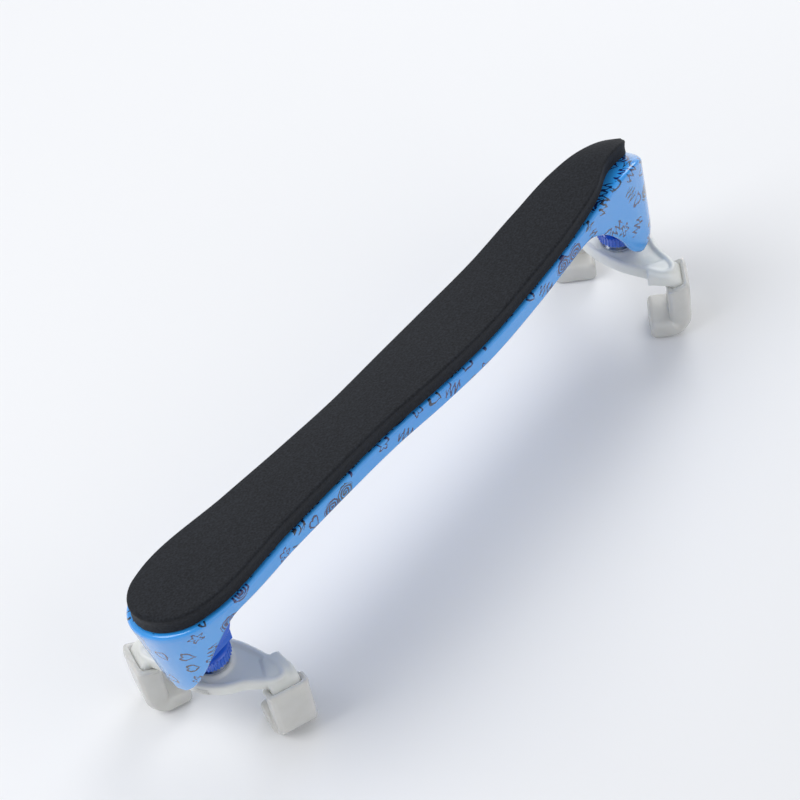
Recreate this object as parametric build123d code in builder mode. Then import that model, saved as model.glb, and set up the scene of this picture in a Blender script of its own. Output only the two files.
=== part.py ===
from build123d import *
from math import cos, sin, radians
import os

os.makedirs("parts", exist_ok=True)

# A folding violin shoulder rest, in millimetres. It stands on its four claws.
# +X runs along the rest to the shoulder end, +Y towards the violin's neck, +Z up.

# ---- driving dimensions -------------------------------------------------------------
BOX_CENTRE = (-0.347, -0.823)     # middle of the whole rest's box in the drawing frame
TILT = 16.0                   # the bar leans towards the neck by this angle, in degrees
BAR_THICK = 6.0
BAR_REF_Z = 51.0              # height on the bar's centre line that its profile is drawn from
PAD_THICK = 5.6
PAD_GAP = 0.05                # adhesive line under the foam
HOOD_WALL = 2.4               # wall of the chest hood
SLIM_WALL = 1.8               # wall of the slimmer shoulder hood
HOOD_RIM = 25.2               # lowest edge of the end hoods

PIN_Z = 42.0                  # fold axis
PIN_R = 1.5
BLOCK_HALF_X = 5.2
BLOCK_HALF_Y = 4.8
BLOCK_BASE = 31.0
LUG_THICK = 2.0
LUG_R = 4.6
LUG_RISE = 12.0               # from the fold axis up into the bar
LUG_GAP = 0.3                 # side clearance between block and lug

STUD_R = 2.95
BORE_R = 3.0
INSERT_R = 4.0
INSERT_TOP = 40.0
STUD_TOP = 47.0
NUT_R = 6.2
NUT_H = 4.6
NUT_BASE = 26.0
CLIP_H = 0.8
CLIP_EASE = 0.02              # clearance of the clip in its groove
CLIP_RING = 1.7               # how far the clip stands out from the stud
CLIP_MOUTH = (5.4, 3.6)       # length and width cut out of the clip's open side
CLIP_MOUTH_AT = 3.5
GROOVE_DEEP = 0.5
WASHER_R = 5.2
WASHER_H = 0.8

FORK_TOP = 24.0               # top face of the fork's plate
FORK_THICK = 4.6
HUB_R = 8.0
HEAD_R = 5.0
HEAD_H = 1.6
HEAD_EASE = 0.25              # side clearance round the stud's head
CLAW_REACH = 19.0             # from the stud to where a claw meets the violin's edge
CLAW_TURN = 45.0              # each claw faces this far round from the fork's own front
CLAW_WIDTH = 8.4
CLAW_WALL = 3.6
CLAW_MOUTH = 6.4              # depth of the mouth, from the wall to the lip's end
CLAW_LIP = 4.0
SLEEVE_WALL = 1.5
SLEEVE_GAP = 0.04
SLEEVE_TOP = 18.0
SLEEVE_SET = 1.0              # the sleeve's mouth lies this far under the claw's shoulder
CLAW_X = 0.4                  # the claw's inner face, in front of its foot point
ROOT_BACK = 9.0               # how far a claw's root reaches back over the fork's plate
ROOT_STEP = 3.0               # the root's step under the sleeve, and its outer chamfer
LIP_CHAMFER = 1.2
HEEL_CHAMFER = 3.2
THROUGH = 90.0                # longer than anything it cuts or is trimmed by
SLOT = (6.4, 1.2, 0.9)        # driver slot in the stud's head: length, width, depth
FLUTES = 18
FLUTE_R = 0.7
PIN_REACH = 1.7               # how far a pin enters the block
PIN_HOLE_EASE = 0.05

# each end: name, stud position, fork's outward azimuth
ENDS = (
    ("chest", -86.0, 1.8, 202.0),
    ("shoulder", 91.6, -1.6, -4.0),
)


def save(part, label):
    """Centre a finished piece on the rest's box, label it and write it as one STEP file."""
    placed = part.moved(Location((-BOX_CENTRE[0], -BOX_CENTRE[1], 0)))
    placed.label = label
    export_step(placed, f"parts/{label}.step")


# ---- base bar -----------------------------------------------------------------------
# Seen from above: a long waisted bar, round at the chest end, slimmer at the shoulder end.
NECK_EDGE = (
    (-87.4, 16.2), (-59, 14.2), (-39, 12.9), (-19, 12.2), (1, 12.8),
    (21, 13.0), (41, 12.1), (61, 11.1), (76, 10.0), (92, 7.4),
)
TAIL_EDGE = (
    (92, -10.6), (76, -11.6), (61, -12.0), (41, -12.3), (21, -12.9),
    (1, -12.2), (-19, -10.8), (-39, -10.9), (-59, -11.5), (-87.4, -12.6),
)
CHEST_TIP = (-102.8, 1.8)
SHOULDER_TIP = (101.6, -1.6)

# Seen from the side: distance of the bar's top from BAR_REF_Z along its leaning normal.
TOP_PROFILE = (
    (-108, 5.9), (-79, 5.1), (-39, 2.8), (1, 0.3), (21, -0.5),
    (41, 0.1), (61, 2.8), (80, 6.0), (106, 8.0),
)

lean_plane = Plane(
    origin=(0, 0, BAR_REF_Z),
    x_dir=(1, 0, 0),
    z_dir=(0, -cos(radians(TILT)), sin(radians(TILT))),
)


def bar_outline():
    """Closed plan outline of the bar."""
    with BuildSketch() as outline:
        with BuildLine():
            Spline(*NECK_EDGE, tangents=((1, 0), (1, -0.25)))
            ThreePointArc(NECK_EDGE[-1], SHOULDER_TIP, TAIL_EDGE[0])
            Spline(*TAIL_EDGE, tangents=((-1, -0.1), (-1, 0)))
            ThreePointArc(TAIL_EDGE[-1], CHEST_TIP, NECK_EDGE[0])
        make_face()
    return outline.sketch


# The chest hood narrows downwards: its round end's middle, and its radius at two heights.
TAPER_CENTRE = (-88.37, 1.8)
TAPER_TOP, TOP_RADIUS = 60.0, 14.43
LOW_RADIUS = 9.2
TAPER_CUT = 60.0
TAPER_OPEN_X = -70.0
# Room inside the shoulder hood: middle of its round end, half width there, and its open
# side's place along the bar with its two corners' distances across.
SHOULDER_ROOM, SHOULDER_HALF, SHOULDER_OPEN = (92.6, -1.6), 7.2, (60, 8.8, -9.6)


def tapered_end(inset):
    """Half cone with flat tapering sides that fills the chest end, less an even inset."""
    centre_x, centre_y = TAPER_CENTRE
    with BuildPart() as filling:
        for height, radius in ((HOOD_RIM, LOW_RADIUS - inset), (TAPER_TOP, TOP_RADIUS - inset)):
            with BuildSketch(Plane.XY.offset(height)):
                with BuildLine():
                    neck, tail = (centre_x, centre_y + radius), (centre_x, centre_y - radius)
                    ThreePointArc(neck, (centre_x - radius, centre_y), tail)
                    Polyline(tail, (TAPER_OPEN_X, tail[1]), (TAPER_OPEN_X, neck[1]), neck)
                make_face()
        loft(ruled=True)
    return filling.part


def outside_taper():
    """Everything at the chest end that lies outside the tapering hood."""
    with BuildPart() as shavings:
        with BuildSketch(Plane.XY.offset(HOOD_RIM)):
            with Locations((TAPER_OPEN_X - TAPER_CUT / 2, 0)):
                Rectangle(TAPER_CUT, TAPER_CUT)
        extrude(amount=TAPER_TOP - HOOD_RIM)
        add(tapered_end(0), mode=Mode.SUBTRACT)
    return shavings.part


def chest_room():
    """Room inside the chest hood, up to the bar's underside."""
    with BuildPart() as room:
        add(tapered_end(HOOD_WALL))
        extrude(slab_profile(-BAR_THICK, -THROUGH), amount=THROUGH, both=True, mode=Mode.INTERSECT)
    return room.part


def end_hollow(tip_x, centre, half, opening):
    """Room inside a hood: round at the tip, open towards the middle of the bar."""
    open_x, open_neck, open_tail = opening
    with BuildPart() as room:
        with BuildSketch():
            with BuildLine():
                neck = (centre[0], centre[1] + half)
                tail = (centre[0], centre[1] - half)
                ThreePointArc(neck, (tip_x, centre[1]), tail)
                Polyline(tail, (open_x, open_tail), (open_x, open_neck), neck)
            make_face()
        extrude(amount=THROUGH)
        extrude(slab_profile(-BAR_THICK, -THROUGH), amount=THROUGH, both=True, mode=Mode.INTERSECT)
    return room.part


def slab_profile(upper, lower):
    """Side profile between two distances from the bar's top curve, in the leaning plane."""
    top = [(x, z + upper) for x, z in TOP_PROFILE]
    bottom = [(x, z + lower) for x, z in reversed(TOP_PROFILE)]
    with BuildSketch(lean_plane) as profile:
        with BuildLine():
            crest = Spline(*top)
            base = Spline(*bottom)
            Line(crest @ 1, base @ 0)
            Line(base @ 1, crest @ 0)
        make_face()
    return profile.sketch


# Hood rims seen from the side: each leaves the bar's underside and runs down to the end wall.
CHEST_RIM = ((-98.6, HOOD_RIM), (-96.6, 28.4), (-93.4, 36.0), (-88.6, 43.0), (-80, 50.5))
NECK_RIM = ((78, 51.0), (87, 41.0), (94, 32.6), (98, HOOD_RIM + 1.2), (102, HOOD_RIM))
TAIL_RIM = ((68, 52.0), (76, 45.0), (82, 37.5), (86, 29.5), (90.5, HOOD_RIM))
HOOD_SPLIT_Y = -1.6           # the shoulder hood's rim changes sides here
BEYOND, ABOVE, BELOW = 110, 70, -20   # clear of the bar's ends, top and foot


def under_rims(shoulder_rim, y_low, y_high):
    """Everything below the hood rims, between two planes across the bar."""
    with BuildPart() as gap:
        with BuildSketch(Plane.XZ.offset(-y_high)):
            with BuildLine():
                Spline(*CHEST_RIM, tangents=((1, 1), (1, 0.7)))
                Polyline(
                    CHEST_RIM[-1],
                    (CHEST_RIM[-1][0], ABOVE),
                    (shoulder_rim[0][0], ABOVE),
                    shoulder_rim[0],
                )
                Spline(*shoulder_rim, tangents=((1, -0.8), (1, -0.1)))
                Polyline(
                    shoulder_rim[-1],
                    (BEYOND, HOOD_RIM),
                    (BEYOND, BELOW),
                    (-BEYOND, BELOW),
                    (-BEYOND, HOOD_RIM),
                    CHEST_RIM[0],
                )
            make_face()
        extrude(amount=y_high - y_low)
        extrude(slab_profile(-BAR_THICK, -THROUGH), amount=THROUGH, both=True, mode=Mode.INTERSECT)
    return gap.part


with BuildPart() as base_bar:
    extrude(bar_outline(), amount=THROUGH)
    extrude(slab_profile(0, -THROUGH), amount=THROUGH, both=True, mode=Mode.INTERSECT)
    add(outside_taper(), mode=Mode.SUBTRACT)
    add(chest_room(), mode=Mode.SUBTRACT)
    shoulder_room = end_hollow(SHOULDER_TIP[0] - SLIM_WALL, SHOULDER_ROOM, SHOULDER_HALF, SHOULDER_OPEN)
    add(shoulder_room, mode=Mode.SUBTRACT)
    add(under_rims(NECK_RIM, HOOD_SPLIT_Y, THROUGH), mode=Mode.SUBTRACT)
    add(under_rims(TAIL_RIM, -THROUGH, HOOD_SPLIT_Y), mode=Mode.SUBTRACT)
    # hinge lugs hang from the bar's underside beside each folding block
    for _, hub_x, hub_y, _ in ENDS:
        for side in (-1, 1):
            inner_y = hub_y + side * (BLOCK_HALF_Y + LUG_GAP)
            with BuildSketch(Plane.XZ.offset(-inner_y)):
                with Locations((hub_x, PIN_Z)):
                    Circle(LUG_R)
                with Locations((hub_x, PIN_Z + LUG_RISE / 2)):
                    Rectangle(2 * LUG_R, LUG_RISE)
            extrude(amount=-side * LUG_THICK)
        with Locations(Location((hub_x, hub_y, PIN_Z), (90, 0, 0))):
            Cylinder(PIN_R, 2 * (BLOCK_HALF_Y + LUG_GAP + LUG_THICK), mode=Mode.SUBTRACT)

save(base_bar.part, "base_bar")

# ---- foam pad -----------------------------------------------------------------------
PAD_NECK = (
    (-87.4, 15.0), (-59, 12.9), (-39, 11.6), (-19, 10.9), (1, 11.5), (21, 11.7),
    (41, 10.8), (61, 9.8), (76, 8.2), (88, 4.6), (95, 1.2),
)
PAD_TAIL = (
    (96, -4.0), (84, -5.8), (76, -8.8), (61, -10.7), (41, -11.0), (21, -11.6),
    (1, -10.9), (-19, -9.5), (-39, -9.6), (-59, -10.2), (-87.4, -11.4),
)
PAD_CHEST_TIP = (-101.4, 1.8)
PAD_SHOULDER_TIP = (98.2, -1.8)

with BuildSketch() as pad_outline:
    with BuildLine():
        Spline(*PAD_NECK, tangents=((1, 0), (1, -0.5)))
        ThreePointArc(PAD_NECK[-1], PAD_SHOULDER_TIP, PAD_TAIL[0])
        Spline(*PAD_TAIL, tangents=((-1, 0.1), (-1, 0)))
        ThreePointArc(PAD_TAIL[-1], PAD_CHEST_TIP, PAD_NECK[0])
    make_face()

with BuildPart() as foam_pad:
    extrude(pad_outline.sketch, amount=THROUGH)
    extrude(slab_profile(PAD_GAP + PAD_THICK, PAD_GAP), amount=THROUGH, both=True, mode=Mode.INTERSECT)

save(foam_pad.part, "foam_pad")


# ---- pieces of each foot ------------------------------------------------------------
def turned(azimuth):
    """Unit vector at an azimuth in degrees, measured from +X towards +Y."""
    return cos(radians(azimuth)), sin(radians(azimuth))


def make_hinge_pin(hub, side):
    """Short steel pin pressed through a lug and reaching a little way into the block."""
    inner = hub[1] + side * (BLOCK_HALF_Y - PIN_REACH)
    with BuildPart() as pin:
        with BuildSketch(Plane(origin=(hub[0], inner, PIN_Z), z_dir=(0, side, 0))):
            Circle(PIN_R)
        extrude(amount=PIN_REACH + LUG_GAP + LUG_THICK)
        chamfer(pin.edges().filter_by(GeomType.CIRCLE), length=0.3)
    return pin.part


def make_swivel_block(hub):
    """Moulded knuckle that folds on the pins and carries the threaded insert."""
    with BuildPart() as block:
        with BuildSketch(Plane.XZ.offset(-hub[1])):
            with Locations((hub[0], PIN_Z)):
                Circle(BLOCK_HALF_X)
            with Locations((hub[0], (PIN_Z + BLOCK_BASE) / 2)):
                Rectangle(2 * BLOCK_HALF_X, PIN_Z - BLOCK_BASE)
        extrude(amount=BLOCK_HALF_Y, both=True)
        chamfer(block.faces().sort_by(Axis.Z)[0].edges(), length=0.6)
        with BuildSketch(Plane.XY.offset(BLOCK_BASE)):
            with Locations(hub):
                Circle(BORE_R)
        extrude(amount=THROUGH, mode=Mode.SUBTRACT)
        with BuildSketch(Plane.XY.offset(BLOCK_BASE)):
            with Locations(hub):
                Circle(INSERT_R)
        extrude(amount=INSERT_TOP - BLOCK_BASE, mode=Mode.SUBTRACT)
        for side in (-1, 1):
            inner = hub[1] + side * (BLOCK_HALF_Y - PIN_REACH - PIN_HOLE_EASE)
            with BuildSketch(Plane(origin=(hub[0], inner, PIN_Z), z_dir=(0, side, 0))):
                Circle(PIN_R + PIN_HOLE_EASE)
            extrude(amount=BLOCK_HALF_Y, mode=Mode.SUBTRACT)
    return block.part


def make_tube(hub, base, height, outer, inner):
    """Plain round tube standing on a height."""
    with BuildPart() as tube:
        with BuildSketch(Plane.XY.offset(base)):
            with Locations(hub):
                Circle(outer)
                Circle(inner, mode=Mode.SUBTRACT)
        extrude(amount=height)
    return tube.part


def make_lock_nut(hub):
    """Thumb nut with grip flutes round its rim."""
    with BuildPart() as nut:
        with BuildSketch(Plane.XY.offset(NUT_BASE)):
            with Locations(hub):
                Circle(NUT_R)
                Circle(BORE_R, mode=Mode.SUBTRACT)
                with PolarLocations(NUT_R + FLUTE_R / 2, FLUTES):
                    Circle(FLUTE_R, mode=Mode.SUBTRACT)
        extrude(amount=NUT_H)
    return nut.part


def make_height_stud(hub):
    """Threaded stud: a head under the fork, a groove for the clip, and a long shank."""
    head_base = FORK_TOP - FORK_THICK
    with BuildPart() as stud:
        with BuildSketch(Plane.XY.offset(head_base)):
            with Locations(hub):
                Circle(HEAD_R)
        extrude(amount=HEAD_H)
        with BuildSketch(Plane.XY.offset(head_base)):
            with Locations(hub):
                Circle(STUD_R)
        extrude(amount=STUD_TOP - head_base)
        chamfer(stud.edges().filter_by(GeomType.CIRCLE).sort_by(Axis.Z)[-1], length=0.6)
        with BuildSketch(Plane.XY.offset(head_base)):
            with Locations(hub):
                Rectangle(SLOT[0], SLOT[1])
        extrude(amount=SLOT[2], mode=Mode.SUBTRACT)
        clip_base = FORK_TOP + WASHER_H
        with BuildSketch(Plane.XY.offset(clip_base)):
            with Locations(hub):
                Circle(STUD_R)
                Circle(STUD_R - GROOVE_DEEP, mode=Mode.SUBTRACT)
        extrude(amount=CLIP_H, mode=Mode.SUBTRACT)
    return stud.part


def make_retaining_clip(hub, azimuth):
    """Spring-steel clip in the stud's groove, open on one side."""
    mouth = [CLIP_MOUTH_AT * way for way in turned(azimuth)]
    with BuildPart() as clip:
        with BuildSketch(Plane.XY.offset(FORK_TOP + WASHER_H + CLIP_EASE)):
            with Locations(hub):
                Circle(STUD_R + CLIP_RING)
                Circle(STUD_R - GROOVE_DEEP + CLIP_EASE, mode=Mode.SUBTRACT)
            with Locations(Location((hub[0] + mouth[0], hub[1] + mouth[1], 0), azimuth)):
                Rectangle(CLIP_MOUTH[0], CLIP_MOUTH[1], mode=Mode.SUBTRACT)
        extrude(amount=CLIP_H - 2 * CLIP_EASE)
    return clip.part


def claw_frame(hub, azimuth, side):
    """Upright plane of a claw: local x points outward over the violin's edge, local y up."""
    out = turned(azimuth)
    along = (-out[1] * side, out[0] * side)
    facing = turned(azimuth + side * CLAW_TURN)
    foot = (hub[0] + CLAW_REACH * along[0], hub[1] + CLAW_REACH * along[1], 0)
    return Plane(origin=foot, x_dir=(facing[0], facing[1], 0), z_dir=(facing[1], -facing[0], 0))


def claw_profile(plane, grow, top):
    """Side view of a claw: from its root over the edge, down, and back under as a lip."""
    wall_in = CLAW_X - grow
    wall_out = CLAW_X + CLAW_WALL + grow
    lip_end = CLAW_X - CLAW_MOUTH - grow
    base = SLEEVE_WALL + SLEEVE_GAP - grow
    lip_top = SLEEVE_WALL + SLEEVE_GAP + CLAW_LIP + grow
    with BuildSketch(plane) as profile:
        with BuildLine():
            Polyline(
                (wall_in, top),
                (wall_in, lip_top),
                (lip_end, lip_top),
                (lip_end, base + LIP_CHAMFER),
                (lip_end + LIP_CHAMFER, base),
                (wall_out - HEEL_CHAMFER, base),
                (wall_out, base + HEEL_CHAMFER),
                (wall_out, top),
                (wall_in, top),
            )
        make_face()
    return profile.sketch


def claw_root(plane):
    """Side view of the thick shoulder that joins a claw's wall to the fork's plate."""
    with BuildSketch(plane) as profile:
        with BuildLine():
            Polyline(
                (-ROOT_BACK, FORK_TOP - FORK_THICK),
                (CLAW_X, FORK_TOP - FORK_THICK),
                (CLAW_X, SLEEVE_TOP - ROOT_STEP),
                (CLAW_X + CLAW_WALL, SLEEVE_TOP - ROOT_STEP),
                (CLAW_X + CLAW_WALL, FORK_TOP - ROOT_STEP),
                (CLAW_X + CLAW_WALL - ROOT_STEP, FORK_TOP),
                (-ROOT_BACK, FORK_TOP),
                (-ROOT_BACK, FORK_TOP - FORK_THICK),
            )
        make_face()
    return profile.sketch


# The fork's plate seen from above: local x outward, local y across.
PLATE_OUTLINE = (
    (-6.6, 0), (-3.8, 16), (2.6, 19.4), (5.6, 15.5),
    (7.4, 0), (5.6, -15.5), (2.6, -19.4), (-3.8, -16),
)


def make_fork(hub, azimuth):
    """One-piece fork: round hub, two tapering arms and a hooked claw at each tip."""
    underside = (hub[0], hub[1], FORK_TOP - FORK_THICK)
    plate = Plane(origin=underside, x_dir=(*turned(azimuth), 0), z_dir=(0, 0, 1))
    with BuildPart() as fork:
        with BuildSketch(plate):
            Circle(HUB_R)
            with BuildLine():
                Polyline(*PLATE_OUTLINE, PLATE_OUTLINE[0])
            make_face()
        extrude(amount=FORK_THICK)
        for side in (-1, 1):
            upright = claw_frame(hub, azimuth, side)
            extrude(claw_root(upright), amount=CLAW_WIDTH / 2, both=True)
            extrude(claw_profile(upright, 0, SLEEVE_TOP), amount=CLAW_WIDTH / 2, both=True)
        with BuildSketch(plate):
            Circle(HEAD_R + HEAD_EASE)
        extrude(amount=HEAD_H + BORE_R - STUD_R, mode=Mode.SUBTRACT)
        with BuildSketch(plate):
            Circle(BORE_R)
        extrude(amount=FORK_THICK, mode=Mode.SUBTRACT)
    return fork.part


def make_sleeve(hub, azimuth, side):
    """Silicone sock over one claw, closed at the lip and open where the wall enters."""
    upright = claw_frame(hub, azimuth, side)
    half = CLAW_WIDTH / 2
    with BuildPart() as sleeve:
        extrude(
            claw_profile(upright, SLEEVE_WALL + SLEEVE_GAP, SLEEVE_TOP - SLEEVE_SET),
            amount=half + SLEEVE_WALL,
            both=True,
        )
        extrude(
            claw_profile(upright, SLEEVE_GAP, SLEEVE_TOP),
            amount=half + SLEEVE_GAP,
            both=True,
            mode=Mode.SUBTRACT,
        )
    return sleeve.part


for name, hub_x, hub_y, azimuth in ENDS:
    hub = (hub_x, hub_y)
    for side, place in ((-1, "tail"), (1, "neck")):
        save(make_hinge_pin(hub, side), f"{name}_hinge_pin_{place}")
    save(make_swivel_block(hub), f"{name}_swivel_block")
    insert = make_tube(hub, BLOCK_BASE, INSERT_TOP - BLOCK_BASE, INSERT_R, BORE_R)
    save(insert, f"{name}_threaded_insert")
    save(make_lock_nut(hub), f"{name}_lock_nut")
    save(make_height_stud(hub), f"{name}_height_stud")
    save(make_tube(hub, FORK_TOP, WASHER_H, WASHER_R, BORE_R), f"{name}_thrust_washer")
    save(make_retaining_clip(hub, azimuth), f"{name}_retaining_clip")
    save(make_fork(hub, azimuth), f"{name}_fork")
    for side, place in ((-1, "a"), (1, "b")):
        save(make_sleeve(hub, azimuth, side), f"{name}_sleeve_{place}")
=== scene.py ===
# %% [markdown]
# # A folding violin shoulder rest
#
# The rest is a long leaning bar of glossy blue plastic with a strip of charcoal foam glued on
# top. Each end of the bar curls down into a hood, and under each hood sits a foot: a block
# that folds, a threaded stud with its lock nut, and a fork of milky nylon with two claws.
# Clear silicone sleeves cover the claws so that they grip a violin's edge without marking it.
#
# The engineering model is loaded first. Its boxes say where everything goes, and every
# visible piece made here rides on one of its bodies.

# %% Load the frame
import math

import bmesh
import bpy
from mathutils import Matrix, Vector, noise


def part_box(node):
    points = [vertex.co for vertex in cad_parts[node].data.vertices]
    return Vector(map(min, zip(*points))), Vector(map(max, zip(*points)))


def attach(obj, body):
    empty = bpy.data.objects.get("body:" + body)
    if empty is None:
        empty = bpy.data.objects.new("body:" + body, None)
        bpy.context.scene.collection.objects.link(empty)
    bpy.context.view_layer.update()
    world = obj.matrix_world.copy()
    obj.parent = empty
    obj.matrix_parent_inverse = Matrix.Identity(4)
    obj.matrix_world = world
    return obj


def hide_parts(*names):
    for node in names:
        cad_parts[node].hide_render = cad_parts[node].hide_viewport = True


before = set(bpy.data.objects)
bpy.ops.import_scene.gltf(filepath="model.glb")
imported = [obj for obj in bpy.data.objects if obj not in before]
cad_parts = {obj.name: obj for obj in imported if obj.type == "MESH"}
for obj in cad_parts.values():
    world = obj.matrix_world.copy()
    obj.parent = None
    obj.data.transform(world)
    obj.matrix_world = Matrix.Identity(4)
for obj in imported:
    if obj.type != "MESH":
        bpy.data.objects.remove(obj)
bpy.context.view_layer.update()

# %% [markdown]
# ## Working in millimetres
#
# A maker thinks of this rest in millimetres on a drawing whose origin lies near the middle
# of the bar. Blender wants metres in the frame's own place. The two agree at the chest
# stud, so one vector carries every drawing point across.

# %% From the drawing to the frame
MM = 0.001
MERGE = 0.002    # mm; points nearer than this are one point
STUD = {"chest": Vector((-86.0, 1.8, 0)), "shoulder": Vector((91.6, -1.6, 0))}
FACING = {"chest": math.radians(202), "shoulder": math.radians(-4)}

stud_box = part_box("chest_height_stud")
stud_middle = (stud_box[0] + stud_box[1]) / 2 / MM
SHIFT = Vector((stud_middle.x, stud_middle.y, 0)) - STUD["chest"]
print("drawing to frame, mm:", [round(part, 3) for part in SHIFT])


def cleaned(mesh):
    """The same mesh with its doubles merged, its faces outwards and its shading smooth."""
    work = bmesh.new()
    work.from_mesh(mesh)
    bmesh.ops.remove_doubles(work, verts=work.verts, dist=MERGE * MM)
    bmesh.ops.recalc_face_normals(work, faces=work.faces)
    work.to_mesh(mesh)
    work.free()
    mesh.shade_smooth()
    return mesh


def make_mesh(name, points, faces, placed=True):
    """A clean mesh from drawing points in millimetres."""
    mesh = bpy.data.meshes.new(name)
    shift = SHIFT if placed else Vector((0, 0, 0))
    mesh.from_pydata([(Vector(point) + shift) * MM for point in points], [], faces)
    return cleaned(mesh)


def add_piece(name, mesh, material=None):
    """An object at the origin that shows a mesh in one material."""
    piece = bpy.data.objects.new(name, mesh)
    bpy.context.scene.collection.objects.link(piece)
    if material:
        mesh.materials.clear()
        mesh.materials.append(material)
    return piece


def settled(piece, name=None):
    """The piece's mesh with its modifiers applied, as a new plain object; the old one goes."""
    evaluated = piece.evaluated_get(bpy.context.evaluated_depsgraph_get())
    mesh = bpy.data.meshes.new_from_object(evaluated)
    mesh.name = name or piece.name
    old_name = piece.name
    bpy.data.objects.remove(piece)
    return add_piece(name or old_name, mesh)


# %% [markdown]
# ## Smooth curves through a few points
#
# A bar like this is drawn with a handful of points and a flexible curve through them. One
# helper gives evenly spaced points along such a curve, and another reads a smooth height
# from a table of stations.

# %% Curve helpers
def flow(points, count):
    """Evenly spaced points, count + 1 of them, along a smooth curve through the points."""
    knots = [Vector(point) for point in points]
    knots = [2 * knots[0] - knots[1], *knots, 2 * knots[-1] - knots[-2]]
    dense = []
    for before, start, end, after in zip(knots, knots[1:], knots[2:], knots[3:]):
        gap_a, gap, gap_b = ((b - a).length for a, b in ((before, start), (start, end), (end, after)))
        leave = ((start - before) / gap_a - (end - before) / (gap_a + gap) + (end - start) / gap) * gap
        arrive = ((end - start) / gap - (after - start) / (gap + gap_b) + (after - end) / gap_b) * gap
        for step in range(16):
            t = step / 16
            dense.append(
                start * (2 * t**3 - 3 * t**2 + 1)
                + leave * (t**3 - 2 * t**2 + t)
                + end * (3 * t**2 - 2 * t**3)
                + arrive * (t**3 - t**2)
            )
    dense.append(knots[-2])
    along = [0.0]
    for a, b in zip(dense, dense[1:]):
        along.append(along[-1] + (b - a).length)
    even, at = [], 0
    for step in range(count + 1):
        wanted = along[-1] * step / count
        while at < len(along) - 2 and along[at + 1] < wanted:
            at += 1
        share = (wanted - along[at]) / (along[at + 1] - along[at])
        even.append(dense[at].lerp(dense[at + 1], share))
    return even


def read(table, x):
    """A smooth value at x from (x, value) stations in rising order, held flat outside them."""
    if x <= table[0][0]:
        return table[0][1]
    if x >= table[-1][0]:
        return table[-1][1]
    k = max(i for i, (station, _) in enumerate(table[:-1]) if station <= x)
    (x0, y0), (x1, y1) = table[k], table[k + 1]

    def slope(i):
        low, high = table[max(i - 1, 0)], table[min(i + 1, len(table) - 1)]
        return (high[1] - low[1]) / (high[0] - low[0])

    t = (x - x0) / (x1 - x0)
    return (
        y0 * (2 * t**3 - 3 * t**2 + 1)
        + slope(k) * (x1 - x0) * (t**3 - 2 * t**2 + t)
        + y1 * (3 * t**2 - 2 * t**3)
        + slope(k + 1) * (x1 - x0) * (t**3 - t**2)
    )


def arc(centre, radius, start, end, steps):
    """Points on an arc between two angles in degrees, both ends included."""
    angles = [math.radians(start + (end - start) * step / steps) for step in range(steps + 1)]
    return [(centre[0] + radius * math.cos(a), centre[1] + radius * math.sin(a)) for a in angles]


# %% [markdown]
# ## Nodes by one small function
#
# Every material and every Geometry Nodes tree below is a list of nodes with their settings
# and links. One function adds a node; a value that is a socket becomes a link.

# %% Node and colour helpers
def add(tree, kind, inputs=None, **settings):
    """Add a node, set its attributes, and fill or link its inputs."""
    made = tree.nodes.new(kind)
    for name, value in settings.items():
        setattr(made, name, value)
    for key, value in (inputs or {}).items():
        if isinstance(value, bpy.types.NodeSocket):
            tree.links.new(value, made.inputs[key])
        else:
            made.inputs[key].default_value = value
    return made


def linear(code):
    """A colour written as sRGB hex, as the linear colour that the shaders take."""
    parts = [int(code[i : i + 2], 16) / 255 for i in (1, 3, 5)]
    return (*[p / 12.92 if p <= 0.04045 else ((p + 0.055) / 1.055) ** 2.4 for p in parts], 1.0)


def new_material(name, **surface):
    """A material with one Principled shader, its plain numbers set straight on the sockets."""
    material = bpy.data.materials.new(name)
    material.use_nodes = True
    tree = material.node_tree
    tree.nodes.clear()
    names = {key.replace("_", " ").title().replace("Ior", "IOR"): v for key, v in surface.items()}
    shader = add(tree, "ShaderNodeBsdfPrincipled", names)
    add(tree, "ShaderNodeOutputMaterial", {"Surface": shader.outputs[0]})
    return material, tree, shader


# %% [markdown]
# ## Camera, light and floor
#
# The rest stands alone on a pale studio floor. The view is from high up beside the chest
# end with a long lens, so the far end hardly shrinks. A broad soft key light from the left
# and behind draws the long highlight down the bar's edge; a weak fill opens the shadows.

# %% Camera, lights, floor
VIEW_RIGHT = Vector((0.621, -0.773, -0.132)).normalized()
VIEW_AHEAD = Vector((0.435, 0.480, -0.762)).normalized()
VIEW_UP = VIEW_RIGHT.cross(VIEW_AHEAD)
VIEW_FROM = Vector((-269.0, -291.9, 510.8))
camera = bpy.data.objects.new("camera", bpy.data.cameras.new("camera"))
camera.data.lens, camera.data.sensor_width = 102.4, 36
facing = Matrix((VIEW_RIGHT, VIEW_UP, -VIEW_AHEAD)).transposed().to_4x4()
camera.matrix_world = Matrix.Translation((VIEW_FROM + SHIFT) * MM) @ facing
bpy.context.scene.collection.objects.link(camera)
bpy.context.scene.camera = camera

LIGHTS = (  # name, watts, side in metres, place, aimed at
    ("key", 4.6, 0.60, (-0.45, 0.35, 0.75), (0, 0, 0.03)),
    ("fill", 2.0, 0.80, (0.15, -0.85, 0.55), (0, 0, 0.03)),
    ("rim", 2.6, 0.50, (0.70, 0.25, 0.45), (0.05, 0, 0.03)),
)
for name, watts, side, place, aim in LIGHTS:
    lamp = bpy.data.lights.new(name, "AREA")
    lamp.energy, lamp.size = watts, side
    holder = bpy.data.objects.new(name, lamp)
    holder.location = place
    holder.rotation_euler = (Vector(aim) - Vector(place)).to_track_quat("-Z", "Y").to_euler()
    bpy.context.scene.collection.objects.link(holder)

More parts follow.
